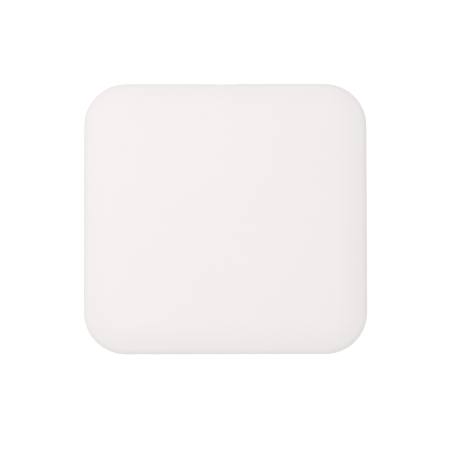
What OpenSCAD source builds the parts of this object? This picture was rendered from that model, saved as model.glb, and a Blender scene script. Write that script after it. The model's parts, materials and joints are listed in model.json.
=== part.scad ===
// Wireless charging pad: a rounded-square moulded case on a silicone foot ring, with a transmit
// coil on a ferrite disc under its top face and a circuit board round the coil.
// The origin is the middle of the footprint, on the table. +Y is the rear, where the port is.

/* [Outline] */
// Width of the pad, left to right
pad_w = 100; // [83:0.1:130]
// Depth of the pad, front to rear
pad_d = 95.6; // [79.5:0.1:130]
// Radius of the corners, seen from above
corner_r = 14.8; // [12.3:0.1:17.8]
// Width of the soft crown round the flat of the top face
crown_w = 11; // [9.5:0.1:11.8]
// Radius of the crown
crown_r = 22; // [19:0.5:28]
// Radius of the roll from the crown into the side
roll_r = 3.4; // [3:0.1:4.2]
// Radius under the side, where the skirt turns in
bottom_roll_r = 1.5; // [0.8:0.1:1.5]

/* [Case] */
// Thickness of the top cover's skirt
cover_wall = 1.9; // [1.6:0.05:2.3]
// Thickness of the top face
top_t = 1.9; // [1.5:0.05:2.4]
// Thickness of the bottom cover's floor
floor_t = 1.6; // [1.4:0.05:2.2]
// Gap round the bottom cover
seam_gap = 0.15; // [0.1:0.05:0.3]
// Outer diameter of the screw posts
post_d = 4.6; // [4:0.1:6]
// Diameter of the pads that carry the board at its corners
corner_pad_d = 8; // [7:0.1:9]
// Width of the recess for a label
label_w = 44; // [30:1:48]
// Depth of that recess, front to rear
label_l = 24; // [16:1:40]
// Height of the lip round the bottom cover
lip_h = 0.9; // [0.6:0.1:1.2]
// Thickness of the lip and of the snap clips
clip_t = 1.0; // [0.8:0.1:1.2]
// Width of a snap clip
clip_w = 8; // [6:0.5:9]
// Height of a snap clip above the floor
clip_h = 1.9; // [1.8:0.1:2.1]
// Reach of a clip's hook into the skirt
hook_reach = 0.35; // [0.2:0.05:0.5]

/* [Foot ring] */
// Height that the foot stands below the case
foot_proud = 0.8; // [0.6:0.1:1.2]
// Depth of the groove that holds the foot
foot_recess = 0.5; // [0.4:0.05:0.6]
// Width of the foot
foot_w = 5.5; // [4.8:0.1:6.6]
// Distance from the outline to the middle of the foot
foot_inset = 8.8; // [8:0.1:9.2]

/* [Screws] */
// Thread diameter of every screw
screw_d = 2; // [1.6:0.1:2.4]
// Head diameter of every screw
head_d = 3.6; // [3:0.1:4]
// Head height of every screw
head_h = 1.2; // [0.9:0.1:1.4]
// Depth of thread that a case screw has in its post
thread_bite = 3; // [2:0.1:3.2]

/* [Coil stack] */
// Thickness of the steel ballast disc
ballast_t = 1.2; // [0.8:0.1:1.5]
// Radius of the ballast disc
ballast_r = 25.5; // [20:0.1:26]
// Thickness of the foam that presses the coil up
foam_t = 0.8; // [0.5:0.1:1.2]
// Outer radius of the foam
foam_r = 20; // [15:0.5:24]
// Thickness of the coil carrier's floor
carrier_floor_t = 0.8; // [0.6:0.1:1]
// Thickness of the coil carrier's rim
carrier_rim_t = 1.2; // [0.8:0.1:1.5]
// Thickness of the ferrite disc
ferrite_t = 1.4; // [1.2:0.1:1.7]
// Ferrite beyond the coil's edge
ferrite_margin = 3; // [2.5:0.1:4]
// Radius of the hole in the middle of the coil
coil_bore_r = 10.25; // [9:0.05:12]
// Diameter of the litz wire
wire_d = 1.05; // [0.9:0.01:1.1]
// Distance from turn to turn
wire_pitch = 1.12; // [1.12:0.01:1.35]
// Turns of the coil
coil_turns = 10; // [8:1:12]
// Air between the coil and the top face
coil_gap = 0.2; // [0.1:0.05:0.5]

/* [Circuit board] */
// Thickness of the board
board_t = 1; // [0.8:0.1:1.2]
// Space under the board
board_gap = 1; // [0.8:0.1:1.2]
// Space between the board's edge and the skirt
board_clear = 1.6; // [1.5:0.1:2]
// Space between the carrier and the board's round hole
bore_clear = 1.5; // [1:0.1:2]

/* [Port] */
// Width of the receptacle's shell
usb_w = 8.94; // [8.9:0.01:9]
// Height of the receptacle's shell
usb_h = 3.16; // [3.1:0.01:3.3]
// Length of the receptacle's shell
usb_l = 7.35; // [6.5:0.05:8]
// Sheet thickness of the receptacle's shell
usb_wall = 0.3; // [0.2:0.05:0.35]
// Depth that the receptacle's mouth sits inside the outline
usb_setback = 0.5; // [0.4:0.05:1.3]
// Gap round the receptacle in the skirt
port_clear = 0.25; // [0.2:0.05:0.4]
// Depth that the receptacle sinks below the board's upper face
usb_sink = 1.6; // [1.5:0.05:1.7]

/* [Indicator] */
// Diameter of the light pipe
pipe_d = 1.7; // [1.2:0.1:2]
// Diameter of the light pipe's flange
pipe_flange_d = 2.4; // [2.2:0.1:2.6]

/* [Hidden] */
$fn = 96;
eps = 0.01;

// Clearances and small fits
slip = 0.1; // between parts that are dropped together
thread_fit = 0.02; // round a modelled thread
hole_fit = 0.2; // round a screw or peg that passes freely
tape_t = 0.1;
arc_crossing = 0.002;
root_h = 0.4; // that posts and ribs reach into the top face
label_t = 0.15;
film_t = 0.15;

// Heights, from the table up
z_underside = foot_proud;
z_groove = z_underside + foot_recess;
z_floor = z_underside + floor_t;
z_ballast = z_floor + tape_t;
z_foam = z_ballast + ballast_t;
z_carrier = z_foam + foam_t;
z_ferrite = z_carrier + carrier_floor_t;
z_film = z_ferrite + ferrite_t;
z_wire = z_film + film_t;
z_coil = z_wire + wire_d / 2;
z_ceiling = z_wire + wire_d + coil_gap;
pad_h = z_ceiling + top_t;
z_board = z_floor + board_gap;
z_deck = z_board + board_t; // the board's upper face
z_usb = z_deck - usb_sink + usb_h / 2;

// Plan positions
run_x = pad_w / 2 - corner_r; // centre of a corner's arc
run_y = pad_d / 2 - corner_r;
post_reach = (corner_r - foot_inset) / sqrt(2);
post_x = run_x + post_reach;
post_y = run_y + post_reach;
base_inset = cover_wall + seam_gap;
lip_inset = cover_wall + slip;
board_inset = cover_wall + board_clear;
board_x = pad_w / 2 - board_inset; // half the board's width
board_y = pad_d / 2 - board_inset;
wall_y = pad_d / 2 - cover_wall; // inner face of the skirt, front and rear

// Coil stack
spiral_r = coil_bore_r + wire_d / 2 + wire_pitch / 4;
coil_r = coil_bore_r + coil_turns * wire_pitch + wire_d;
ferrite_r = coil_r + ferrite_margin;
carrier_r = ferrite_r + slip + carrier_rim_t;
carrier_rim_h = 0.9;
board_bore_r = carrier_r + bore_clear;
coil_angle = 72; // where both ends of the winding lie
slot_angle = 36; // where the inner end leaves under the turns
slot_w = 3.4;
hub_r = coil_bore_r - 0.35;
z_slot_lead = z_ferrite + wire_d / 2 + slip;
lead_pad_r = board_bore_r + 2.2;
outer_pad_angle = 57;
joint_h = 0.45;

locating_peg_r = 1.5;
sensor_lead_d = 0.4;
sensor_pad_r = board_bore_r + 1.6;
sensor_spread = 7.5; // degrees from the slot to each sensor lead's joint

// Screws
z_head = z_groove + 0.05;
z_seat = z_head + head_h;
board_screw_ex = 25.5; // from the board's side edge
board_screw_ey = 11.5; // from the board's rear edge
board_pilot_depth = 2;

// Port and indicator
usb_mouth_y = pad_d / 2 - usb_setback;
usb_back_y = usb_mouth_y - usb_l;
usb_block_l = 1.6;
usb_leg_x = usb_w / 2 + 0.75;
tongue_w = 6.69;
tongue_t = 0.7;
tongue_setback = 0.6;
contact_pitch = 0.5;
contact_w = 0.25;
contact_t = 0.05;
led_size = [3, 1, 1.1];
led_y = -board_y;
pipe_z = z_deck - 0.1;
pipe_setback = 0.05; // of its face from the skirt's
pipe_back_y = led_y - 0.15;
pipe_flange_t = 0.6;

// Carrier ears
ear_angles = [0, 180, 270];
ear_w = 6;
ear_t = 0.8;
ear_reach = 3.4;
peg_d = 1.6;
peg_r = board_bore_r + 1.7;

// Height that a component stands off the board, and room that the crown leaves above it
lift = 0.05;
headroom = 0.3;

// A tall component's place, from the board's edge: as chosen, or further in where the crown is low
function under_crown(chosen, across, height) =
    let (r = crown_r - top_t, fall = max(0, z_ceiling - z_deck - lift - height - headroom))
    max(chosen, across / 2 + crown_w - board_inset - sqrt(r * r - pow(r - fall, 2)));

// Components: [x from the board's side edge, y from its front or rear edge, side, end, turn]
transistor_size = [3.3, 3.3, 0.9];
transistors = [for (x = [3.7, 8.1], y = [13.6, 18]) [x, y, 1, 1, 0]];
resonant_size = [3.2, 2.5, 2.3];
resonant_x = under_crown(3.6, resonant_size[0], resonant_size[2]);
resonant = [for (x = [0, 4.4], y = [13, 16.6, 20.2]) [resonant_x + x, y, 1, -1, 0]];
bulk_size = [7.3, 4.3, 1.9];
bulk_y = under_crown(5.1, bulk_size[0], bulk_size[2]);
bulk = [for (x = [14.5, 19.7, 24.9]) [x, bulk_y, -1, 1, 90]];
inductor_size = [6.6, 6.6, 2.8];
inductor = [16, under_crown(6.4, inductor_size[1], inductor_size[2]), 1, 1, 0];
controller_size = [7, 7, 1.3];
controller = [6.4, 17.5, -1, 1, 0];
protocol_size = [4, 4, 0.8];
protocol = [6, 14.2, -1, -1, 0];
amplifier_size = [4.9, 3.9, 1.4];
amplifier = [17, 5.2, -1, -1, 0];
regulator_size = [2.9, 1.6, 1.1];
regulator = [22.6, 4.8, 1, 1, 90];
crystal_size = [3.2, 2.5, 0.8];
crystal = [6.4, 24.2, -1, 1, 0];
shunt_size = [6.3, 3.1, 0.6];
shunt = [5.8, 22.6, 1, 1, 0];
fuse_size = [3.2, 1.6, 0.6];
fuse = [29.6, 3, -1, 1, 90];
diode_size = [4.3, 3.6, 2.1];
diode = [27.2, 5, 1, 1, 90];
chip_size = [1.6, 0.8, 0.5];
chip_resistors = concat(
    [for (i = [0:3]) [3 + 1.8 * i, 18.4, -1, -1, 90]],
    [for (i = [0:2]) [3 + 2.6 * i, 21.4, -1, -1, 0]],
    [for (i = [0:3]) [23 + 1.8 * i, 3, -1, -1, 90]],
    [for (i = [0:2]) [14 + 2.6 * i, 3, 1, -1, 0]],
    [for (i = [0:2]) [11.6, 13 + 2.2 * i, -1, 1, 90]]
);
chip_capacitors = concat(
    [for (i = [0:3]) [23 + 1.8 * i, 6.4, -1, -1, 90]],
    [for (i = [0:2]) [14 + 2.6 * i, 5, 1, -1, 0]],
    [for (i = [0:2]) [14 + 2.6 * i, 7, 1, -1, 0]],
    [for (i = [0:1]) [2.2, 21.8 + 2.8 * i, -1, 1, 90]],
    [for (i = [0:2]) [10.6, 13 + 2.4 * i, -1, -1, 90]]
);

// ---------------------------------------------------------------- shapes that repeat

// Sweeps a profile round the outline. The profile's x = 0 lies on the corner arcs' centres.
module around_outline() {
    for (quarter = [0:3]) {
        turned = quarter % 2 == 1;
        reach = turned ? run_y : run_x;
        half = turned ? run_x : run_y;
        rotate(90 * quarter) translate([reach, half, 0]) {
            rotate([90, 0, 0]) linear_extrude(2 * half) children();
            rotate_extrude(angle = 90) children();
        }
    }
}

// Half of a section through the pad's edge: a flat top, the crown, the roll and the side.
// The crown's arc and the roll's arc cross a hair beyond the point where they would just touch.
module edge_section(inset, z0, z1, arc_r, bottom_r) {
    reach = corner_r - inset;
    roll = roll_r - inset;
    arc_x = corner_r - crown_w;
    roll_x = corner_r - roll_r;
    between = arc_r - roll + arc_crossing;
    across = roll_x - arc_x;
    roll_z = z1 - arc_r + sqrt(pow(between, 2) - pow(across, 2));
    meet_x = roll_x + roll * across / between;
    intersection() {
        union() {
            translate([0, z0]) square([arc_x, z1 - z0]);
            translate([arc_x, z1 - arc_r]) circle(arc_r);
        }
        union() {
            translate([0, z0]) square([meet_x, z1 - z0 + 1]);
            translate([roll_x, roll_z]) circle(roll);
            translate([0, z0 + bottom_r]) square([reach, roll_z - z0 - bottom_r]);
            if (bottom_r > 0) {
                translate([0, z0]) square([reach - bottom_r, 2 * bottom_r]);
                translate([reach - bottom_r, z0 + bottom_r]) circle(bottom_r);
            }
        }
    }
}

// A solid with the pad's outline, taken in by inset, and a crowned top
module crowned_block(inset, z0, z1, arc_r, bottom_r) {
    around_outline() edge_section(inset, z0, z1, arc_r, bottom_r);
    translate([-run_x, -run_y, z0]) cube([2 * run_x, 2 * run_y, z1 - z0]);
}

// A flat plate with the pad's outline, taken in by inset
module outline_plate(inset, z0, z1) {
    w = pad_w - 2 * inset;
    d = pad_d - 2 * inset;
    r = corner_r - inset;
    translate([0, 0, z0]) linear_extrude(z1 - z0) {
        square([w - 2 * r, d], center = true);
        square([w, d - 2 * r], center = true);
        at_each_corner(w / 2 - r, d / 2 - r) circle(r);
    }
}

module at_each_corner(x, y) {
    for (sx = [-1, 1], sy = [-1, 1]) translate([sx * x, sy * y]) children();
}

// A flat bar bent round the outline, from inset_a in to inset_b
module outline_band(inset_a, inset_b, z0, z1) {
    around_outline() translate([corner_r - inset_b, z0]) square([inset_b - inset_a, z1 - z0]);
}

module disc(r, z0, z1) {
    translate([0, 0, z0]) cylinder(h = z1 - z0, r = r);
}

module ring(r_in, r_out, z0, z1) {
    difference() {
        disc(r_out, z0, z1);
        disc(r_in, z0 - 1, z1 + 1);
    }
}

module stadium(w, h) {
    square([w - h, h], center = true);
    for (s = [-1, 1]) translate([s * (w - h) / 2, 0]) circle(h / 2);
}

// A stadium prism that lies along Y, centred on the port's axis
module port_prism(w, h, y0, y1) {
    translate([0, y1, z_usb]) rotate([90, 0, 0]) linear_extrude(y1 - y0) stadium(w, h);
}

// A box centred in x and y that stands on z = 0
module block(size) {
    translate([-size[0] / 2, -size[1] / 2, 0]) cube(size);
}

// Puts a component on the board, from its [x, y, side, end, turn] place
module placed(place) {
    translate([place[2] * (board_x - place[0]), place[3] * (board_y - place[1]), z_deck])
        rotate(place[4]) children();
}

module each_place(places) {
    for (place = places) placed(place) children();
}

module at_board_screws() {
    for (side = [-1, 1])
        translate([side * (board_x - board_screw_ex), board_y - board_screw_ey, 0]) children();
}

module at_clips() {
    clip_margin = clip_w / 2 + 4;
    for (quarter = [0:3], side = [-1, 1]) {
        turned = quarter % 2 == 1;
        reach = (turned ? pad_d : pad_w) / 2 - cover_wall;
        along = (turned ? run_x : run_y) - clip_margin;
        rotate(90 * quarter) translate([reach, side * along, 0]) children();
    }
}

// ---------------------------------------------------------------- wires

function polar(r, angle, z) = [r * cos(angle), r * sin(angle), z];
function unit(v) = v / norm(v);
function catmull(a, b, c, d, t) =
    0.5 * (2 * b + (c - a) * t + (2 * a - 5 * b + 4 * c - d) * t * t
    + (3 * b - a - 3 * c + d) * t * t * t);
function smooth_path(p, steps) = let (n = len(p)) concat(
    [for (i = [0:n - 2], k = [0:steps - 1])
        catmull(p[max(i - 1, 0)], p[i], p[i + 1], p[min(i + 2, n - 1)], k / steps)],
    [p[n - 1]]
);
function heading(p, i) = unit(p[min(i + 1, len(p) - 1)] - p[max(i - 1, 0)]);
function square_off(v, t) = unit(v - (v * t) * t);
function carried(p, i) = i == 0
    ? square_off([0.3, 0.2, 1], heading(p, 0))
    : square_off(carried(p, i - 1), heading(p, i));

// A round wire that follows the points
module wire(points, d, sides = 8, steps = 4) {
    p = smooth_path(points, steps);
    n = len(p);
    rings = [for (i = [0:n - 1])
        let (u = carried(p, i), v = cross(heading(p, i), u))
        for (k = [0:sides - 1]) p[i] + d / 2 * (cos(360 * k / sides) * u + sin(360 * k / sides) * v)];
    sides_of = [for (i = [0:n - 2], k = [0:sides - 1])
        let (a = i * sides + k, b = i * sides + (k + 1) % sides)
        [b, a, a + sides, b + sides]];
    first = [for (k = [0:sides - 1]) k];
    last = [for (k = [sides - 1:-1:0]) (n - 1) * sides + k];
    polyhedron(rings, concat(sides_of, [first, last]));
}

// ---------------------------------------------------------------- case

module top_cover() {
    pilot_top = z_deck + thread_bite + 0.2;
    ring_r = coil_r + 0.4;
    color("white") difference() {
        union() {
            difference() {
                crowned_block(0, z_underside, pad_h, crown_r, bottom_roll_r);
                crowned_block(cover_wall, z_underside - 1, z_ceiling, crown_r - top_t, 0);
            }
            at_each_corner(post_x, post_y) disc(post_d / 2, z_deck, z_ceiling + root_h);
            ring(ring_r, ring_r + 0.9, z_ceiling - 0.6, z_ceiling + root_h);
            ceiling_ribs();
        }
        at_each_corner(post_x, post_y) disc(screw_d / 2 + thread_fit, z_deck - 1, pilot_top);
        rotate(coil_angle) translate([ring_r - 2, 0, z_ceiling - 1]) cube([4, 5, 1]);
        port_prism(usb_w + 2 * port_clear, usb_h + 2 * port_clear, usb_back_y, pad_d / 2 + 1);
        light_pipe_hole();
        at_clips() clip_pocket();
    }
}

// Low ribs under the top face, over the board
module ceiling_ribs() {
    r0 = board_bore_r + 1;
    rib_w = 1;
    rib_h = 0.5;
    rib_spread = 8;
    onto_crown = 4.5;
    for (quarter = [0:3]) {
        reach = (quarter % 2 == 1 ? pad_d : pad_w) / 2 - crown_w + onto_crown;
        rotate(90 * quarter) for (side = [-1, 1])
            translate([r0, side * rib_spread - rib_w / 2, z_ceiling - rib_h])
                cube([reach - r0, rib_w, rib_h + root_h]);
    }
}

// The hole for the light pipe, and the room that its flange takes where the crown is low
module light_pipe_hole() {
    translate([0, -wall_y + 1, pipe_z]) rotate([90, 0, 0])
        cylinder(h = cover_wall + 2, d = pipe_d + 2 * slip);
    translate([0, pipe_back_y + slip, pipe_z]) rotate([90, 0, 0])
        cylinder(h = pipe_flange_t + 2 * slip, d = pipe_flange_d + 2 * slip);
}

module clip_pocket() {
    pocket = hook_reach + 0.2;
    z0 = z_floor + clip_h - 1.5;
    translate([-1, -clip_w / 2 - 0.3, z0]) cube([1 + pocket, clip_w + 0.6, 1.6]);
}

module clip() {
    top = z_floor + clip_h;
    rotate([90, 0, 0]) translate([0, 0, -clip_w / 2]) linear_extrude(clip_w) polygon([
        [-slip - clip_t, z_floor - eps],
        [-slip, z_floor - eps],
        [-slip, top - 1.3],
        [hook_reach, top - 1.1],
        [hook_reach, top - 0.8],
        [-slip - 0.3, top],
        [-slip - clip_t, top]
    ]);
}

module bottom_cover() {
    rib_r = ballast_r + 0.2;
    color("whitesmoke") difference() {
        union() {
            outline_plate(base_inset, z_underside, z_floor);
            difference() {
                outline_band(lip_inset, lip_inset + clip_t, z_floor - eps, z_floor + lip_h);
                lip_gap(usb_w + 2, pad_d / 2 - 6);
                lip_gap(pipe_flange_d + 1, -pad_d / 2);
            }
            at_clips() clip();
            at_each_corner(post_x, post_y) disc(corner_pad_d / 2, z_floor - eps, z_board);
            at_board_screws() disc(post_d / 2, z_floor - eps, z_board);
            ring(rib_r, rib_r + 0.8, z_floor - eps, z_floor + 0.8);
            locating_pegs(locating_peg_r);
        }
        outline_band(foot_inset - foot_w / 2 - slip, foot_inset + foot_w / 2 + slip,
            z_underside - 1, z_groove);
        at_each_corner(post_x, post_y) {
            disc(head_d / 2 + hole_fit, z_groove - eps, z_seat);
            disc(screw_d / 2 + hole_fit, z_seat - eps, z_board + 1);
        }
        at_board_screws() disc(screw_d / 2 + thread_fit, z_board - board_pilot_depth, z_board + 1);
        label_recess();
    }
}

// A shallow blank field under the base
module label_recess() {
    r = 2;
    translate([0, 0, z_underside - 1]) linear_extrude(1 + label_t) {
        square([label_w - 2 * r, label_l], center = true);
        square([label_w, label_l - 2 * r], center = true);
        at_each_corner(label_w / 2 - r, label_l / 2 - r) circle(r);
    }
}

// Pegs that centre the ballast disc, or its holes
module locating_pegs(r) {
    peg_y = 18;
    peg_top = z_ballast + ballast_t - 0.2;
    for (side = [-1, 1]) translate([0, side * peg_y, 0]) disc(r, z_floor - eps, peg_top);
}

module lip_gap(w, y0) {
    translate([-w / 2, y0, z_floor]) cube([w, 6, lip_h + 1]);
}

module foot_ring() {
    bevel = 0.25;
    a = corner_r - foot_inset - foot_w / 2;
    top = z_groove - tape_t;
    color("gainsboro") around_outline() polygon([
        [a + bevel, 0],
        [a + foot_w - bevel, 0],
        [a + foot_w, bevel],
        [a + foot_w, top],
        [a, top],
        [a, bevel]
    ]);
}

module foot_tape() {
    half = foot_w / 2 - 0.3;
    color("ivory") difference() {
        outline_band(foot_inset - half, foot_inset + half, z_groove - tape_t, z_groove);
        at_each_corner(post_x, post_y) disc(head_d / 2 + hole_fit, z_groove - 1, z_groove + 1);
    }
}

// A pan-head screw that stands on z = 0 with its thread upwards
module screw(thread_l) {
    driver_w = 0.5;
    driver_l = 2;
    difference() {
        union() {
            cylinder(h = head_h - 0.3, d1 = head_d - 0.5, d2 = head_d);
            translate([0, 0, head_h - 0.3]) cylinder(h = 0.3, d = head_d);
            cylinder(h = head_h + thread_l, d = screw_d);
        }
        for (turn = [0, 90]) rotate(turn)
            translate([-driver_l / 2, -driver_w / 2, -1]) cube([driver_l, driver_w, 1.6]);
    }
}

module case_screws() {
    thread_l = z_deck + thread_bite - z_seat;
    color("silver") at_each_corner(post_x, post_y) translate([0, 0, z_head]) screw(thread_l);
}

module board_screws() {
    thread_l = board_t + board_pilot_depth - slip;
    color("silver") at_board_screws()
        translate([0, 0, z_deck + head_h]) mirror([0, 0, 1]) screw(thread_l);
}

// ---------------------------------------------------------------- coil stack

module ballast_disc() {
    color("darkgray") difference() {
        disc(ballast_r, z_ballast, z_foam);
        locating_pegs(locating_peg_r + slip);
    }
}

module ballast_tape() {
    color("ivory") difference() {
        disc(ballast_r - 3, z_floor, z_ballast);
        locating_pegs(locating_peg_r + slip);
    }
}

module foam_spacer() {
    color("dimgray") ring(6, foam_r, z_foam, z_carrier);
}

module coil_carrier() {
    rim_top = z_ferrite + carrier_rim_h;
    gusset_r = board_bore_r - 0.4;
    color("black") difference() {
        union() {
            disc(carrier_r, z_carrier, z_ferrite);
            ring(carrier_r - carrier_rim_t, carrier_r, z_carrier, rim_top);
            for (angle = ear_angles) rotate(angle) {
                translate([carrier_r - carrier_rim_t + slip, -ear_w / 2, z_deck])
                    cube([gusset_r - carrier_r + carrier_rim_t, ear_w, rim_top - z_deck]);
                translate([carrier_r - 0.5, -ear_w / 2, z_deck])
                    cube([board_bore_r + ear_reach - carrier_r + 0.5, ear_w, ear_t]);
                translate([peg_r, 0, 0]) disc(peg_d / 2, z_board - 0.4, z_deck + eps);
            }
        }
        rotate(slot_angle) translate([carrier_r - 3, -slot_w / 2, z_ferrite]) cube([4, slot_w, ferrite_t]);
        disc(ferrite_r + slip, z_ferrite, rim_top + 1);
    }
}

module ferrite_disc() {
    color("#303236") difference() {
        ring(hub_r, ferrite_r, z_ferrite, z_film);
        rotate(slot_angle) translate([0, -slot_w / 2, z_ferrite - 1])
            cube([ferrite_r + 1, slot_w, ferrite_t + 2]);
    }
}

module coil_film() {
    color("goldenrod") ring(coil_bore_r, coil_r, z_film, z_wire);
}

// Half turns about two centres, each half a pitch wider than the last, make one smooth spiral
module coil_winding() {
    color("chocolate") rotate(coil_angle) for (i = [0:2 * coil_turns - 1]) {
        lower = i % 2 == 1;
        translate([lower ? wire_pitch / 4 : -wire_pitch / 4, 0, z_coil])
            rotate_extrude(angle = 180, start = lower ? 180 : 0)
                translate([spiral_r + i * wire_pitch / 2, 0]) circle(wire_d / 2);
    }
}

// From the winding's inner end down into the ferrite's slot, under the turns and out to the board
module coil_lead_inner() {
    r0 = spiral_r - wire_pitch / 4;
    color("chocolate") wire([
        polar(r0, coil_angle - 0.3, z_coil),
        polar(r0 - 0.1, coil_angle - 4, z_coil),
        polar(r0 - 1.3, coil_angle - 13, z_coil - 0.1),
        polar(r0 - 2.3, coil_angle - 23, z_coil - 0.7),
        polar(r0 - 2.8, coil_angle - 34, z_slot_lead),
        polar(r0 - 0.6, slot_angle - 1, z_slot_lead),
        polar(r0 + 2, slot_angle, z_slot_lead),
        polar(ferrite_r - 3, slot_angle, z_slot_lead),
        polar(carrier_r + 0.3, slot_angle, z_slot_lead),
        polar(lead_pad_r - 0.75, slot_angle, z_slot_lead - 0.1),
        polar(lead_pad_r - 0.1, slot_angle, z_deck + 1),
        polar(lead_pad_r, slot_angle, z_deck + 0.55),
        polar(lead_pad_r, slot_angle, z_deck + 0.3),
        polar(lead_pad_r, slot_angle, z_deck + lift)
    ], wire_d);
}

// From the winding's outer end over the ferrite's rim and down to the board
module coil_lead_outer() {
    r0 = coil_r - wire_d / 2;
    color("chocolate") wire([
        polar(r0, coil_angle + 0.2, z_coil),
        polar(r0 + 0.1, coil_angle + 3, z_coil),
        polar(r0 + 1.4, coil_angle + 6.5, z_coil),
        polar(r0 + 3.4, coil_angle + 3.5, z_coil),
        polar(r0 + 5.6, coil_angle - 4, z_coil - 0.1),
        polar(lead_pad_r - 0.9, outer_pad_angle + 3, z_coil - 0.6),
        polar(lead_pad_r, outer_pad_angle, z_deck + 1.4),
        polar(lead_pad_r, outer_pad_angle, z_deck + 0.7),
        polar(lead_pad_r, outer_pad_angle, z_deck + lift)
    ], wire_d);
}

module sensor_pad() {
    color("lightgray") disc(3.5, z_ferrite, z_ceiling - 1.3);
}

module temperature_sensor() {
    color("black") disc(1, z_ceiling - 1.3, z_ceiling - 0.1);
}

// Two thin wires from the bead over its pad and out through the ferrite's slot
module sensor_leads() {
    z_low = z_ferrite + sensor_lead_d / 2 + 0.02;
    color("gold") for (side = [-1, 1]) {
        step = side * 1.15;
        end = side * sensor_spread;
        wire([
            polar(1 + sensor_lead_d / 2, slot_angle + side * 40, z_ceiling - 0.7),
            polar(2.6, slot_angle + side * 28, z_ceiling - 0.9),
            polar(4.2, slot_angle + side * 16, z_ceiling - 1.15),
            polar(5.4, slot_angle + side * 12, z_low + 0.3),
            rotated([7.5, step, z_low], slot_angle),
            rotated([ferrite_r - 2, step, z_low], slot_angle),
            rotated([carrier_r + 0.8, step, z_low], slot_angle),
            polar(sensor_pad_r - 0.3, slot_angle + end, z_deck + 0.9),
            polar(sensor_pad_r, slot_angle + end, z_deck + 0.5),
            polar(sensor_pad_r, slot_angle + end, z_deck + lift)
        ], sensor_lead_d, 6, 3);
    }
}
function rotated(p, angle) = [
    p[0] * cos(angle) - p[1] * sin(angle),
    p[0] * sin(angle) + p[1] * cos(angle),
    p[2]
];

// ---------------------------------------------------------------- circuit board

module circuit_board() {
    notch_w = usb_w + 0.3;
    color("darkgreen") difference() {
        outline_plate(board_inset, z_board, z_deck);
        disc(board_bore_r, z_board - 1, z_deck + 1);
        translate([-notch_w / 2, usb_back_y - 0.15, z_board - 1]) cube([notch_w, usb_l + 2, board_t + 2]);
        at_each_corner(post_x, post_y) disc(screw_d / 2 + hole_fit, z_board - 1, z_deck + 1);
        at_board_screws() disc(screw_d / 2 + hole_fit, z_board - 1, z_deck + 1);
        for (angle = ear_angles) rotate(angle) translate([peg_r, 0, 0])
            disc(peg_d / 2 + slip, z_board - 1, z_deck + 1);
        at_usb_legs() translate([0, 0, z_board - 1]) block([0.55, 1.4, board_t + 2]);
    }
}

module thermal_pad() {
    color("lightsteelblue") translate([board_x - 10.2, board_y - 20.4, z_floor])
        cube([8.8, 8.8, board_gap]);
}

// A cone of solder round a wire that stands on the board
module solder_cone(d, h) {
    difference() {
        cylinder(h = h, r1 = d / 2 + 0.55, r2 = d / 2 + 0.15);
        translate([0, 0, -1]) cylinder(h = h + 2, r = d / 2 + 0.03);
    }
}

module solder_joints() {
    color("silver") {
        for (angle = [slot_angle, outer_pad_angle])
            translate(polar(lead_pad_r, angle, z_deck)) solder_cone(wire_d, joint_h);
        for (side = [-1, 1])
            translate(polar(sensor_pad_r, slot_angle + side * sensor_spread, z_deck))
                solder_cone(sensor_lead_d, 0.4);
    }
}

// ---------------------------------------------------------------- port and indicator

module at_usb_legs() {
    for (side = [-1, 1], y = [usb_back_y + 1.4, board_y - 1.1])
        translate([side * usb_leg_x, y, 0]) children();
}

module usb_shell() {
    color("silver") {
        difference() {
            port_prism(usb_w, usb_h, usb_back_y, usb_mouth_y);
            port_prism(usb_w - 2 * usb_wall, usb_h - 2 * usb_wall, usb_back_y - 1, usb_mouth_y + 1);
        }
        at_usb_legs() translate([0, 0, z_board - 0.4]) block([0.3, 1.1, board_t + 0.4]);
        for (side = [-1, 1], y = [usb_back_y + 1.4, board_y - 1.1])
            translate([side * (usb_leg_x - 0.375), y, z_deck]) block([1.05, 1.1, 0.3]);
    }
}

module usb_insulator() {
    inner_w = usb_w - 2 * usb_wall - 0.04;
    inner_h = usb_h - 2 * usb_wall - 0.04;
    tongue_y = usb_mouth_y - tongue_setback;
    color("black") {
        port_prism(inner_w, inner_h, usb_back_y, usb_back_y + usb_block_l);
        translate([-tongue_w / 2, usb_back_y + usb_block_l - eps, z_usb - tongue_t / 2])
            cube([tongue_w, tongue_y - usb_back_y - usb_block_l + eps, tongue_t]);
    }
}

module usb_contacts() {
    contact_l = 3.6;
    tail = [contact_w, 0.9, 0.15];
    y0 = usb_mouth_y - tongue_setback - 0.4 - contact_l;
    color("gold") for (i = [-5.5:5.5]) {
        for (side = [-1, 1])
            translate([i * contact_pitch - contact_w / 2, y0,
                z_usb + (side > 0 ? tongue_t / 2 : -tongue_t / 2 - contact_t)])
                cube([contact_w, contact_l, contact_t]);
        translate([i * contact_pitch, usb_back_y - tail[1] / 2, z_deck]) block(tail);
    }
}

module status_led() {
    color("white") translate([0, led_y + led_size[1] / 2, z_deck]) block(led_size);
}

module light_pipe() {
    color("aliceblue") intersection() {
        translate([0, pipe_back_y, pipe_z]) rotate([90, 0, 0]) {
            cylinder(h = pipe_back_y + pad_d / 2, d = pipe_d);
            cylinder(h = pipe_flange_t, d = pipe_flange_d);
        }
        crowned_block(pipe_setback, z_underside, pad_h - pipe_setback, crown_r - pipe_setback, 0);
    }
}

// ---------------------------------------------------------------- components on the board

// A moulded body with a dimple at its first pin
module package(size) {
    translate([0, 0, lift]) difference() {
        block(size);
        translate([-size[0] / 2 + 0.7, size[1] / 2 - 0.7, size[2] - 0.08])
            cylinder(h = 1, r = 0.3, $fn = 24);
    }
}

// The body of a part that has its terminals at its two ends
module chip_body(size, cap) {
    translate([0, 0, lift]) block([size[0] - 2 * cap, size[1], size[2]]);
}

module chip_caps(size, cap) {
    for (side = [-1, 1]) translate([side * (size[0] - cap) / 2, 0, 0])
        block([cap, size[1] + 0.04, size[2] + lift + 0.02]);
}

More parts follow.
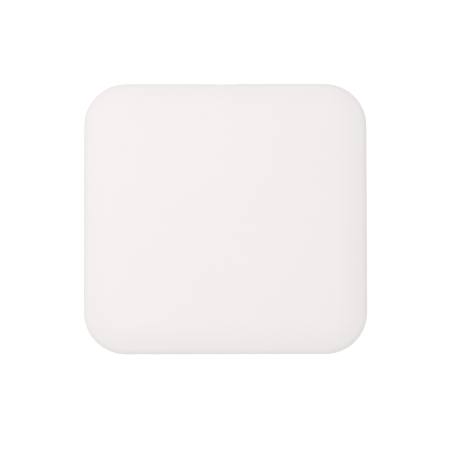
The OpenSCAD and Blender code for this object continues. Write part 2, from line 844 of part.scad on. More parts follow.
// A row of bent leads along one side of a package
module lead_row(size, n, pitch, w) {
    for (i = [0:n - 1]) translate([(i - (n - 1) / 2) * pitch, size[1] / 2, 0])
        rotate([90, 0, 90]) translate([0, 0, -w / 2]) linear_extrude(w) polygon([
            [0, size[2] / 2],
            [0.35, size[2] / 2],
            [0.5, 0.15],
            [0.95, 0.15],
            [0.95, 0],
            [0.4, 0],
            [0.25, size[2] / 2 - 0.15],
            [0, size[2] / 2 - 0.15]
        ]);
}

module controller_chip() {
    color("#26282b") placed(controller) package(controller_size);
}

module protocol_chip() {
    color("#26282b") placed(protocol) package(protocol_size);
}

module sense_amplifier() {
    color("#26282b") placed(amplifier) package(amplifier_size);
}

module voltage_regulator() {
    color("#26282b") placed(regulator) package(regulator_size);
}

module bridge_transistors() {
    color("#26282b") each_place(transistors) package(transistor_size);
}

module resonant_capacitors() {
    color("burlywood") each_place(resonant) chip_body(resonant_size, 0.5);
}

module bulk_capacitors() {
    color("goldenrod") each_place(bulk) chip_body(bulk_size, 0.8);
}

module power_inductor() {
    chamfer = 0.9;
    s = inductor_size[0] / 2;
    color("#4a4c50") placed(inductor) translate([0, 0, lift]) linear_extrude(inductor_size[2]) polygon([
        [chamfer - s, -s], [s - chamfer, -s], [s, chamfer - s], [s, s - chamfer],
        [s - chamfer, s], [chamfer - s, s], [-s, s - chamfer], [-s, chamfer - s]
    ]);
}

module crystal() {
    color("silver") placed(crystal) translate([0, 0, lift]) {
        block([crystal_size[0], crystal_size[1], 0.3]);
        translate([0, 0, 0.3 - eps])
            block([crystal_size[0] - 0.3, crystal_size[1] - 0.3, crystal_size[2] - 0.3]);
    }
}

module shunt_resistor() {
    color("#26282b") placed(shunt) chip_body(shunt_size, 0.6);
}

module input_fuse() {
    color("seagreen") placed(fuse) chip_body(fuse_size, 0.5);
}

module surge_diode() {
    color("#26282b") placed(diode) translate([0, 0, lift]) block(diode_size);
}

module chip_resistor_bodies() {
    color("#26282b") each_place(chip_resistors) chip_body(chip_size, 0.3);
}

module chip_capacitor_bodies() {
    color("burlywood") each_place(chip_capacitors) chip_body(chip_size, 0.3);
}

// Leads and end terminals of every component
module component_leads() {
    color("silver") {
        placed(controller) for (turn = [0:3]) rotate(90 * turn) lead_row(controller_size, 8, 0.8, 0.35);
        placed(amplifier) for (turn = [0, 1]) rotate(180 * turn) lead_row(amplifier_size, 4, 1.27, 0.4);
        placed(regulator) lead_row(regulator_size, 2, 1.9, 0.4);
        placed(regulator) rotate(180) lead_row(regulator_size, 3, 0.95, 0.4);
        each_place(resonant) chip_caps(resonant_size, 0.5);
        each_place(bulk) chip_caps([bulk_size[0], 2.4, 1.2], 0.8);
        each_place(chip_resistors) chip_caps(chip_size, 0.3);
        each_place(chip_capacitors) chip_caps(chip_size, 0.3);
        placed(shunt) chip_caps(shunt_size, 0.6);
        placed(fuse) chip_caps(fuse_size, 0.5);
        placed(diode) for (side = [-1, 1])
            translate([side * (diode_size[0] / 2 + 0.4), 0, 0]) block([0.8, 2, 0.3]);
        placed(inductor) for (side = [-1, 1])
            translate([side * (inductor_size[0] / 2 + 0.2), 0, 0]) block([0.4, 3, 1]);
    }
}

// ---------------------------------------------------------------- assembly

top_cover();
bottom_cover();
foot_ring();
foot_tape();
case_screws();
ballast_disc();
ballast_tape();
foam_spacer();
coil_carrier();
ferrite_disc();
coil_film();
coil_winding();
coil_lead_inner();
coil_lead_outer();
sensor_pad();
temperature_sensor();
sensor_leads();
circuit_board();
board_screws();
thermal_pad();
solder_joints();
usb_shell();
usb_insulator();
usb_contacts();
status_led();
light_pipe();
controller_chip();
protocol_chip();
sense_amplifier();
voltage_regulator();
bridge_transistors();
resonant_capacitors();
bulk_capacitors();
power_inductor();
crystal();
shunt_resistor();
input_fuse();
surge_diode();
chip_resistor_bodies();  // chip_resistors
chip_capacitor_bodies();  // chip_capacitors
component_leads();
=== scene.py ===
"""Looks of the wireless charging pad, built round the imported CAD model."""

import json
import math

import bmesh
import bpy
from mathutils import Matrix, Vector, noise


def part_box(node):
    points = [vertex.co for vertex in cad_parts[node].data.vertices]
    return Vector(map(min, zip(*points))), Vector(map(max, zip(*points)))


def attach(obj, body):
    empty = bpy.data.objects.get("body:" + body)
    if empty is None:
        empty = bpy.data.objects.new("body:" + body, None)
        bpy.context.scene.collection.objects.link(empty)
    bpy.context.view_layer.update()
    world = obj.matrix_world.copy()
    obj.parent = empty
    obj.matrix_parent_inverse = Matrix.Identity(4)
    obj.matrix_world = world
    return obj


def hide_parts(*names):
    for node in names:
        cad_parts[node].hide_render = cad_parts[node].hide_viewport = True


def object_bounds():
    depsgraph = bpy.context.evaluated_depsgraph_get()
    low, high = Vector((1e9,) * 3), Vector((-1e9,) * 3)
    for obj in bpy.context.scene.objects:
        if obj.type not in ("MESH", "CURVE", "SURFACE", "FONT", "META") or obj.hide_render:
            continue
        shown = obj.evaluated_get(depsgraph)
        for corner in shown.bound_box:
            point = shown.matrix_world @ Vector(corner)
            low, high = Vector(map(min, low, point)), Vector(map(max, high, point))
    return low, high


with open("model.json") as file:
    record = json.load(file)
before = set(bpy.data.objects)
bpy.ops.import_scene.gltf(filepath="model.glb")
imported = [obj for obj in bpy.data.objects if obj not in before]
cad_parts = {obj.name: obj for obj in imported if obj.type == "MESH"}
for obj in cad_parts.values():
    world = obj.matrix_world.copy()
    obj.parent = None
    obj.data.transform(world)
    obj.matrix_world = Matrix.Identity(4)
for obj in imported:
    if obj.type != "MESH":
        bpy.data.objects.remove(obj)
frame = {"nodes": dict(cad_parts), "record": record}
cad_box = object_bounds()
nodes = frame["nodes"]
MM = 0.001
X, Y, Z = Vector((1, 0, 0)), Vector((0, 1, 0)), Vector((0, 0, 1))


def extent(node):
    """A CAD node's lowest and highest corners, in millimetres."""
    low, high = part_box(node)
    return low / MM, high / MM


# ---------------------------------------------------------------- materials


class Paint:
    """One material, whose procedural nodes feed a Principled shader. Lengths are in millimetres."""

    def __init__(self, name, colour, roughness, metallic=0.0, ior=1.5, **sockets):
        self.material = bpy.data.materials.new(name)
        self.material.use_nodes = True
        self.tree = self.material.node_tree
        self.shader = self.tree.nodes["Principled BSDF"]
        self.base = colour
        self.set(Base_Color=(*colour, 1), Roughness=roughness, Metallic=metallic, IOR=ior, **sockets)
        texture = self.tree.nodes.new("ShaderNodeTexCoord")
        self.place = texture.outputs["Object"]
        self.facing = texture.outputs["Normal"]
        self.height = None

    def set(self, **sockets):
        for name, value in sockets.items():
            self.shader.inputs[name.replace("_", " ")].default_value = value

    def node(self, kind, *links, **settings):
        made = self.tree.nodes.new("ShaderNode" + kind)
        for key, value in settings.items():
            setattr(made, key, value)
        for socket, source in zip(made.inputs, links):
            self.join(source, socket)
        return made

    def join(self, source, socket):
        if source is None:
            return
        if isinstance(source, bpy.types.NodeSocket):
            self.tree.links.new(source, socket)
        else:
            socket.default_value = source

    def stretched(self, *factors):
        """The place, with each axis scaled, so that what is drawn there is long or short along it."""
        return self.node("Mapping", self.place, None, None, factors, vector_type="POINT").outputs[0]

    def axis(self, name, source=None):
        """One coordinate, in millimetres, or one part of another vector."""
        made = self.node("SeparateXYZ", source or self.place)
        return made.outputs[name] if source else self.math("MULTIPLY", made.outputs[name], 1 / MM)

    def noise(self, size, detail=2.0, rough=0.5, warp=0.0, place=None):
        """Cloudy noise whose features are about size across."""
        made = self.node("TexNoise")
        self.join(place or self.place, made.inputs["Vector"])
        self.join(1 / (size * MM), made.inputs["Scale"])
        self.join(detail, made.inputs["Detail"])
        self.join(rough, made.inputs["Roughness"])
        self.join(warp, made.inputs["Distortion"])
        return made.outputs[0]

    def cells(self, size, output="Distance", place=None, **settings):
        made = self.node("TexVoronoi", **settings)
        self.join(place or self.place, made.inputs["Vector"])
        self.join(1 / (size * MM), made.inputs["Scale"])
        return made.outputs[output]

    def scaled(self, value, low, high, to_low=0.0, to_high=1.0):
        return self.node("MapRange", value, low, high, to_low, to_high).outputs[0]

    def math(self, operation, a, b=None):
        return self.node("Math", a, b, operation=operation).outputs[0]

    def within(self, value, middle, half, soft=0.05):
        """1 where value is within half of middle, 0 outside, with a soft step between."""
        away = self.math("ABSOLUTE", self.math("SUBTRACT", value, middle))
        return self.scaled(away, half, half + soft, 1.0, 0.0)

    def mix(self, share, a, b):
        made = self.tree.nodes.new("ShaderNodeMix")
        made.data_type = "RGBA"
        self.join(share, made.inputs["Factor"])
        for socket, colour in (("A", a), ("B", b)):
            target = [s for s in made.inputs if s.name == socket and s.type == "RGBA"][0]
            self.join((*colour, 1) if isinstance(colour, tuple) else colour, target)
        return [s for s in made.outputs if s.type == "RGBA"][0]

    def shaded(self, share, dark, light):
        """The base colour, from dark times to light times as bright."""
        return self.mix(share, shade(self.base, dark), shade(self.base, light))

    def colour(self, source):
        self.join(source, self.shader.inputs["Base Color"])

    def roughness(self, source):
        self.join(source, self.shader.inputs["Roughness"])

    def bump(self, height, depth, strength=1.0):
        """Adds relief of that depth on top of what is there."""
        made = self.node("Bump")
        self.join(strength, made.inputs["Strength"])
        self.join(depth * MM, made.inputs["Distance"])
        self.join(height, made.inputs["Height"])
        if self.height is not None:
            self.join(self.height, made.inputs["Normal"])
        self.height = made.outputs["Normal"]
        self.join(self.height, self.shader.inputs["Normal"])


def shade(colour, factor):
    return tuple(min(1.0, c * factor) for c in colour)


def moulded(name, colour, roughness, grain=0.3, depth=0.004, spread=0.03, clouds=3, **sockets):
    """Moulded plastic: spark-eroded grain, faint clouds in the colour and patches of more or less gloss."""
    paint = Paint(name, colour, roughness, **sockets)
    patches = paint.scaled(paint.noise(clouds, 3.0), 0.3, 0.7)
    paint.colour(paint.shaded(patches, 1 - spread, 1 + spread))
    paint.bump(paint.noise(grain, 3.0, 0.6), depth)
    rubbed = paint.noise(clouds / 2, 4.0)
    paint.roughness(paint.scaled(rubbed, 0.25, 0.75, roughness - 0.05, roughness + 0.05))
    return paint


def case_skin(name, colour, roughness, grain, depth):
    """The outer plastic: fine grain over a faint orange peel, a little smoother where hands rub it."""
    paint = Paint(name, colour, roughness, ior=1.49)
    drift = paint.scaled(paint.noise(22, 2.0), 0.3, 0.7)
    paint.colour(paint.shaded(drift, 0.9965, 1.0035))
    paint.bump(paint.noise(9, 1.0), 0.003)
    paint.bump(paint.noise(grain, 4.0, 0.65), depth)
    paint.bump(paint.cells(grain * 0.6), depth * 0.6)
    level = paint.axis("Z", paint.facing)
    rolled = paint.scaled(level, 0.3, 0.95, roughness - 0.07, roughness + 0.02)
    worn = paint.scaled(paint.noise(4, 4.0), 0.3, 0.7, -0.03, 0.03)
    paint.roughness(paint.math("ADD", rolled, worn))
    return paint


def silicone(name, colour, roughness, spread=0.03):
    """Soft rubber, with fine matte skin and specks of dust."""
    paint = Paint(name, colour, roughness, ior=1.42, Sheen_Weight=0.12, Sheen_Roughness=0.5)
    dust = paint.scaled(paint.cells(0.9), 0.06, 0.1, 1.0, 0.0)
    clouds = paint.shaded(paint.scaled(paint.noise(5, 3.0), 0.3, 0.7), 1 - spread, 1 + spread)
    paint.colour(paint.mix(paint.math("MULTIPLY", dust, 0.35), clouds, (0.8, 0.79, 0.77)))
    paint.bump(paint.noise(0.25, 3.0, 0.6), 0.006)
    paint.roughness(paint.scaled(paint.noise(2.5, 3.0), 0.3, 0.7, roughness - 0.06, roughness + 0.08))
    return paint


def foam(name, colour):
    """Open-cell foam: pits between cell walls in the relief, with painted shade from the same cells in the
    colour.
    """
    paint = Paint(name, colour, 0.95, Sheen_Weight=0.2, Sheen_Roughness=0.6)
    pits_and_painted_shade = paint.cells(0.35)
    # Painted shade: the colour follows the cells of the relief, bright in the middle of each cell and dark
    # at its rim.
    paint.colour(paint.shaded(paint.scaled(pits_and_painted_shade, 0.1, 0.6), 2.6, 0.5))
    paint.bump(pits_and_painted_shade, 0.12)
    paint.bump(paint.noise(0.15, 3.0), 0.02)
    return paint


def metal(name, colour, roughness, along=(1, 1, 1), spread=0.06, **sockets):
    """Plain metal, with fine drawing or rolling lines along its short-scaled axis."""
    paint = Paint(name, colour, roughness, metallic=1.0, **sockets)
    lines = paint.noise(0.12, 3.0, 0.6, place=paint.stretched(*along))
    stains = paint.noise(1.6, 4.0, 0.6)
    both = paint.math("ADD", paint.math("MULTIPLY", lines, 0.5), paint.math("MULTIPLY", stains, 0.5))
    paint.colour(paint.shaded(paint.scaled(both, 0.35, 0.65), 1 - spread, 1 + spread))
    paint.bump(lines, 0.0015)
    paint.roughness(paint.scaled(both, 0.35, 0.65, roughness - 0.06, roughness + 0.1))
    return paint


def ballast_plate():
    """Zinc-plated sheet: rolling lines under a faint crystal spangle."""
    paint = metal("ballast_steel", (0.5, 0.51, 0.52), 0.36, along=(0.08, 1, 1))
    grains = paint.cells(3.5, "Color")
    flake = paint.axis("X", grains)
    paint.roughness(paint.scaled(flake, 0.0, 1.0, 0.3, 0.46))
    paint.bump(flake, 0.002)
    return paint


def litz():
    """Enamelled copper strands under a clear coat."""
    paint = Paint("litz_copper", (0.74, 0.27, 0.1), 0.3, metallic=1.0, Coat_Weight=0.5, Coat_Roughness=0.2)
    strands = paint.noise(0.18, 3.0, 0.6)
    burnt = paint.scaled(paint.noise(4, 3.0), 0.35, 0.7)
    pale = paint.mix(paint.scaled(strands, 0.35, 0.65), shade(paint.base, 0.8), shade(paint.base, 1.12))
    paint.colour(paint.mix(paint.math("MULTIPLY", burnt, 0.45), pale, (0.48, 0.12, 0.035)))
    paint.bump(strands, 0.01)
    paint.roughness(paint.scaled(strands, 0.3, 0.7, 0.22, 0.42))
    return paint


def ferrite():
    """Sintered ferrite: a dark grain, with hairline cracks between its plates."""
    paint = moulded("ferrite", (0.045, 0.046, 0.05), 0.42, 0.12, 0.004, 0.12, 1.5)
    cracks = paint.cells(8, "Distance", feature="DISTANCE_TO_EDGE")
    open_crack = paint.scaled(cracks, 0.004, 0.012)
    grain = paint.shaded(paint.scaled(paint.noise(0.2, 3.0), 0.3, 0.7), 0.75, 1.3)
    paint.colour(paint.mix(open_crack, (0.008, 0.008, 0.009), grain))
    paint.bump(open_crack, 0.03)
    return paint


def film():
    """Thin amber film, with faint wrinkles."""
    paint = Paint("amber_film", (0.58, 0.22, 0.02), 0.2, Coat_Weight=0.4, Coat_Roughness=0.1)
    wrinkles = paint.noise(5, 3.0, 0.5, 1.5)
    paint.colour(paint.shaded(paint.scaled(wrinkles, 0.3, 0.7), 0.85, 1.12))
    paint.bump(wrinkles, 0.05)
    paint.roughness(paint.scaled(paint.noise(1.2, 3.0), 0.3, 0.7, 0.14, 0.3))
    return paint


def tape():
    """Double-sided tape: a cloudy adhesive with trapped bubbles."""
    paint = Paint("adhesive_tape", (0.74, 0.71, 0.6), 0.45)
    bubbles = paint.scaled(paint.cells(1.4), 0.12, 0.2, 1.0, 0.0)
    haze = paint.shaded(paint.scaled(paint.noise(4, 3.0), 0.3, 0.7), 0.93, 1.05)
    paint.colour(paint.mix(paint.math("MULTIPLY", bubbles, 0.4), haze, (0.9, 0.89, 0.82)))
    paint.bump(bubbles, 0.02)
    paint.roughness(paint.scaled(paint.noise(2, 3.0), 0.3, 0.7, 0.35, 0.6))
    return paint


def board_laminate():
    """Green mask over copper tracks and pours on the faces, and bare glass laminate on the edges."""
    paint = Paint("solder_mask", (0.004, 0.085, 0.03), 0.26, Coat_Weight=0.35, Coat_Roughness=0.15)
    lanes = paint.stretched(1, 1, 0.01)
    pours = paint.cells(3.2, "Distance", lanes, feature="F1", distance="CHEBYCHEV")
    gaps = paint.math("PINGPONG", pours, 0.12)
    copper = paint.scaled(gaps, 0.02, 0.045)
    vias = paint.scaled(paint.cells(2.4, "Distance", lanes), 0.05, 0.075)
    laid = paint.mix(copper, shade(paint.base, 0.6), shade(paint.base, 1.15))
    drilled = paint.mix(vias, (0.5, 0.4, 0.22), laid)
    weave = paint.scaled(paint.noise(0.5, 2.0, 0.5, 0.0, paint.stretched(0.2, 0.2, 4)), 0.35, 0.65)
    edge = paint.mix(weave, (0.42, 0.36, 0.17), (0.6, 0.53, 0.3))
    flat = paint.scaled(paint.math("ABSOLUTE", paint.axis("Z", paint.facing)), 0.5, 0.7)
    paint.colour(paint.mix(flat, edge, drilled))
    paint.bump(copper, 0.03)
    paint.bump(paint.noise(0.8, 3.0), 0.004)
    paint.roughness(paint.scaled(flat, 0.0, 1.0, 0.7, 0.26))
    return paint


def package_mould(name, colour, roughness=0.58):
    """Filled epoxy: a fine sandy grain with paler filler specks."""
    paint = moulded(name, colour, roughness, 0.09, 0.005, 0.1, 1.0)
    specks = paint.scaled(paint.cells(0.16), 0.1, 0.2, 1.0, 0.0)
    body = paint.shaded(paint.scaled(paint.noise(0.9, 3.0), 0.3, 0.7), 0.85, 1.2)
    paint.colour(paint.mix(paint.math("MULTIPLY", specks, 0.4), body, shade(colour, 4)))
    return paint


def polarised(name, colour, node):
    """A capacitor's moulded case, with the generic dark band at its positive end."""
    paint = package_mould(name, colour, 0.45)
    high = extent(node)[1].y
    band = paint.within(paint.axis("Y"), high - 0.9, 0.35)
    warm = paint.shaded(paint.scaled(paint.noise(1.2, 3.0), 0.3, 0.7), 0.9, 1.08)
    paint.colour(paint.mix(band, warm, (0.19, 0.07, 0.02)))
    return paint


def led_body():
    """White package round a small window of yellow phosphor, which looks forwards."""
    paint = moulded("led_package", (0.82, 0.82, 0.78), 0.35, 0.1, 0.003, 0.02, 1.0)
    low, high = extent("status_led")
    across = paint.within(paint.axis("X"), 0, 0.85)
    up = paint.within(paint.axis("Z"), (low.z + high.z) / 2, 0.3)
    front = paint.scaled(paint.axis("Y"), low.y + 0.2, low.y + 0.3, 1.0, 0.0)
    window = paint.math("MULTIPLY", paint.math("MULTIPLY", across, up), front)
    phosphor = paint.mix(paint.noise(0.2, 3.0), (0.72, 0.55, 0.08), (0.85, 0.7, 0.2))
    paint.colour(paint.mix(window, (0.82, 0.82, 0.78), phosphor))
    return paint


def diffuser():
    """Frosted acrylic of the light pipe."""
    paint = Paint("clear_plastic", (0.86, 0.88, 0.9), 0.42, ior=1.49, Transmission_Weight=0.35)
    haze = paint.noise(0.5, 3.0)
    paint.colour(paint.shaded(paint.scaled(haze, 0.3, 0.7), 0.95, 1.04))
    paint.bump(paint.noise(0.12, 3.0), 0.004)
    paint.roughness(paint.scaled(haze, 0.3, 0.7, 0.36, 0.5))
    return paint


CASE = (0.80, 0.77, 0.762)
BASE = (0.785, 0.757, 0.749)

finishes = {
    "case_plastic": case_skin("case_plastic", CASE, 0.56, 0.22, 0.0022),
    "base_plastic": case_skin("base_plastic", BASE, 0.62, 0.4, 0.006),
    "foot_silicone": silicone("foot_silicone", (0.63, 0.608, 0.596), 0.6),
    "adhesive_tape": tape(),
    "screw_steel": metal("screw_steel", (0.58, 0.57, 0.55), 0.32),
    "ballast_steel": ballast_plate(),
    "black_foam": foam("black_foam", (0.035, 0.035, 0.038)),
    "carrier_plastic": moulded("carrier_plastic", (0.018, 0.018, 0.02), 0.48, 0.25, 0.006, 0.12),
    "ferrite": ferrite(),
    "amber_film": film(),
    "litz_copper": litz(),
    "thermal_silicone": silicone("thermal_silicone", (0.32, 0.41, 0.52), 0.65, 0.06),
    "black_epoxy": moulded("black_epoxy", (0.012, 0.012, 0.013), 0.22, 0.4, 0.01, 0.1),
    "enamelled_wire": metal("enamelled_wire", (0.72, 0.34, 0.07), 0.28, Coat_Weight=0.4),
    "solder_mask": board_laminate(),
    "solder": metal("solder", (0.66, 0.67, 0.69), 0.2, spread=0.03),
    "shell_steel": metal("shell_steel", (0.62, 0.61, 0.59), 0.26, along=(1, 0.06, 1)),
    "connector_plastic": moulded("connector_plastic", (0.012, 0.012, 0.013), 0.4, 0.12, 0.003, 0.1, 1.0),
    "gold_plate": metal("gold_plate", (0.92, 0.62, 0.24), 0.22, along=(1, 0.08, 1)),
    "led_package": led_body(),
    "clear_plastic": diffuser(),
    "moulding_compound": package_mould("moulding_compound", (0.016, 0.016, 0.018)),
    "tan_ceramic": moulded("tan_ceramic", (0.36, 0.22, 0.12), 0.42, 0.15, 0.004, 0.08, 1.0),
    "tantalum_case": polarised("tantalum_case", (0.78, 0.42, 0.05), "bulk_capacitors"),
    "inductor_core": package_mould("inductor_core", (0.06, 0.06, 0.066), 0.66),
    "crystal_can": metal("crystal_can", (0.64, 0.64, 0.64), 0.24),
    "fuse_body": moulded("fuse_body", (0.03, 0.24, 0.09), 0.4, 0.1, 0.003, 0.08, 1.0),
    "tin_plate": metal("tin_plate", (0.7, 0.7, 0.7), 0.26),
}

slots = {s["node"]: s["material_slot"] for s in frame["record"]["subparts"]}
for name, node in nodes.items():
    node.data.materials.clear()
    node.data.materials.append(finishes[slots[name]].material)


# ---------------------------------------------------------------- shapes


def filleted(corners, steps=5):
    """The outline through (x, y, radius) corners, each rounded by its radius."""
    outline = []
    for i, (x, y, radius) in enumerate(corners):
        here = Vector((x, y))
        before = (Vector(corners[i - 1][:2]) - here).normalized()
        after = (Vector(corners[(i + 1) % len(corners)][:2]) - here).normalized()
        half = before.angle(after) / 2
        centre = here + (before + after).normalized() * radius / math.sin(half)
        start = here + before * radius / math.tan(half) - centre
        end = here + after * radius / math.tan(half) - centre
        first = math.atan2(start.y, start.x)
        sweep = (math.atan2(end.y, end.x) - first + math.pi) % (2 * math.pi) - math.pi
        for k in range(steps + 1):
            angle = first + sweep * k / steps
            outline.append(centre + Vector((math.cos(angle), math.sin(angle))) * radius)
    return outline


def rounded_loop(half_w, half_h, radius, steps, centre=Vector(), right=X, up=Y):
    """Points round a rectangle with round corners, each with its outward direction."""
    loop = []
    for quarter, (side, rise) in enumerate(((1, 1), (-1, 1), (-1, -1), (1, -1))):
        middle = centre + right * side * (half_w - radius) + up * rise * (half_h - radius)
        for k in range(steps + 1):
            angle = math.pi / 2 * (quarter + k / steps)
            out = right * math.cos(angle) + up * math.sin(angle)
            loop.append((middle + out * radius, out))
    return loop


def skin(loop, profile, axis):
    """A closed profile of (out, along) points carried round a loop."""
    verts = [point + out * p.x + axis * p.y for point, out in loop for p in profile]
    count = len(profile)
    faces = []
    for i in range(len(loop)):
        a, b = i * count, (i + 1) % len(loop) * count
        for j in range(count):
            k = (j + 1) % count
            faces.append((a + j, b + j, b + k, a + k))
    return verts, faces


def smooth_path(points, steps):
    """A smooth curve through the points, as the CAD model's wires have it."""
    path = []
    last = len(points) - 1
    for i in range(last):
        a, b, c, d = (points[min(max(j, 0), last)] for j in (i - 1, i, i + 1, i + 2))
        for k in range(steps):
            t = k / steps
            bend = (2 * a - 5 * b + 4 * c - d) * t * t + (3 * b - a - 3 * c + d) * t**3
            path.append((2 * b + (c - a) * t + bend) / 2)
    return path + [points[last]]


def tube(path, radius_at, sides):
    """A tube whose rings turn as little as they can. radius_at takes an angle and the way along."""
    verts, faces = [], []
    side = Vector((0.3, 0.2, 1))
    travelled = 0.0
    last = len(path) - 1
    for i, point in enumerate(path):
        ahead = (path[min(i + 1, last)] - path[max(i - 1, 0)]).normalized()
        side = (side - ahead * side.dot(ahead)).normalized()
        up = ahead.cross(side)
        if i:
            travelled += (point - path[i - 1]).length
        for k in range(sides):
            angle = 2 * math.pi * k / sides
            turned = side * math.cos(angle) + up * math.sin(angle)
            verts.append(point + turned * radius_at(angle, travelled))
    for i in range(last):
        for k in range(sides):
            a, b = i * sides + k, i * sides + (k + 1) % sides
            faces.append((a, b, b + sides, a + sides))
    faces.append(tuple(reversed(range(sides))))
    faces.append(tuple(range(last * sides, (last + 1) * sides)))
    return verts, faces


def joined(shapes):
    verts, faces = [], []
    for more, around in shapes:
        start = len(verts)
        verts += more
        faces += [tuple(start + i for i in face) for face in around]
    return verts, faces


def soft_box(low, high, bevel, segments=3):
    """A box with round edges."""
    shape = bmesh.new()
    bmesh.ops.create_cube(shape, size=1)
    for vert in shape.verts:
        vert.co = Vector([low[i] + (high[i] - low[i]) * (vert.co[i] + 0.5) for i in range(3)])
    edges = shape.edges[:]
    bmesh.ops.bevel(shape, geom=edges, offset=bevel, segments=segments, profile=0.5, affect="EDGES")
    shape.verts.ensure_lookup_table()
    verts = [v.co.copy() for v in shape.verts]
    faces = [tuple(v.index for v in face.verts) for face in shape.faces]
    shape.free()
    return verts, faces


def make(name, shape, slot, *replaced):
    """A new piece, from points in millimetres, that rides on the pad and stands for CAD nodes."""
    mesh = bpy.data.meshes.new(name)
    mesh.from_pydata([v * MM for v in shape[0]], [], shape[1])
    body = bmesh.new()
    body.from_mesh(mesh)
    bmesh.ops.recalc_face_normals(body, faces=body.faces[:])
    body.to_mesh(mesh)
    body.free()
    mesh.polygons.foreach_set("use_smooth", [True] * len(mesh.polygons))
    mesh.set_sharp_from_angle(angle=math.radians(40))
    mesh.materials.append(finishes[slot].material)
    made = bpy.data.objects.new(name, mesh)
    bpy.context.scene.collection.objects.link(made)
    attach(made, "root")
    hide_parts(*replaced)
    return made


# ---------------------------------------------------------------- foot

CORNER = 14.8  # radius of the pad's corners
FOOT_INSET = 8.8  # from the outline to the middle of the foot


def foot_ring():
    """The foot: a band with round lips and two grooves in the face that grips the table."""
    low, high = extent("foot_ring")
    half_w = cad_box[1].x / MM - FOOT_INSET
    half_d = cad_box[1].y / MM - FOOT_INSET
    half = high.x - half_w
    groove, wall, depth = 0.45, 0.12, 0.2
    corners = [(half, high.z, 0.1), (half, low.z, 0.3)]
    for middle in (half * 0.36, -half * 0.36):
        corners += [(middle + groove / 2 + wall, low.z, 0.05), (middle + groove / 2, low.z + depth, 0.05)]
        corners += [(middle - groove / 2, low.z + depth, 0.05), (middle - groove / 2 - wall, low.z, 0.05)]
    corners += [(-half, low.z, 0.3), (-half, high.z, 0.1)]
    path = rounded_loop(half_w, half_d, CORNER - FOOT_INSET, 24)
    make("foot_ring_grip", skin(path, filleted(corners, 4), Z), "foot_silicone", "foot_ring")


# ---------------------------------------------------------------- coil stack

WIRE = 1.05
PITCH = 1.12
TURNS = 10
COIL_ANGLE = 72  # where both ends of the winding lie
SLOT_ANGLE = 36  # where the inner lead leaves through the ferrite's slot
OUTER_PAD_ANGLE = 57
SENSOR_SPREAD = 7.5
SENSOR_LEAD = 0.4
SLIP = 0.1
CARRIER_RIM = 1.2
BORE_CLEAR = 1.5


def polar(radius, angle, height):
    turn = math.radians(angle)
    return Vector((radius * math.cos(turn), radius * math.sin(turn), height))


def stranded(radius, strands=6, groove=0.17, lay=7.0):
    """The section of a bundle of strands that twist round each other once in lay millimetres."""

    def radius_at(angle, travelled):
        phase = strands * (angle - 2 * math.pi * travelled / lay) / 2
        return radius * (1 - groove * (1 - abs(math.cos(phase))))

    return radius_at


class Stack:
    """Radii and heights of the coil's stack, from the CAD model."""

    def __init__(self):
        self.wire_z = (extent("coil_winding")[0].z + extent("coil_winding")[1].z) / 2
        self.coil_r = extent("coil_film")[1].x
        self.first_r = self.coil_r - TURNS * PITCH - WIRE / 2 + PITCH / 4
        self.ferrite_r = extent("ferrite_disc")[1].x
        self.ferrite_z = extent("ferrite_disc")[0].z
        self.slot_z = self.ferrite_z + WIRE / 2 + SLIP
        self.carrier_r = self.ferrite_r + SLIP + CARRIER_RIM
        self.board_bore_r = self.carrier_r + BORE_CLEAR
        self.deck_z = extent("circuit_board")[1].z
        self.ceiling_z = extent("temperature_sensor")[1].z + SLIP


def coil_winding(stack):
    """The flat spiral: half turns about two centres, each half a pitch wider than the last."""
    ring_step = 0.45
    path = []
    for half_turn in range(2 * TURNS):
        side = 1 if half_turn % 2 else -1
        radius = stack.first_r + half_turn * PITCH / 2
        steps = math.ceil(math.pi * radius / ring_step)
        path += [
            polar(radius, 180 * (half_turn + k / steps), 0) + X * side * PITCH / 4
            for k in range(steps + (half_turn == 2 * TURNS - 1))
        ]
    turned = Matrix.Rotation(math.radians(COIL_ANGLE), 3, "Z")
    placed = [turned @ point + Z * stack.wire_z for point in path]
    make("coil_winding_litz", tube(placed, stranded(WIRE / 2), 24), "litz_copper", "coil_winding")


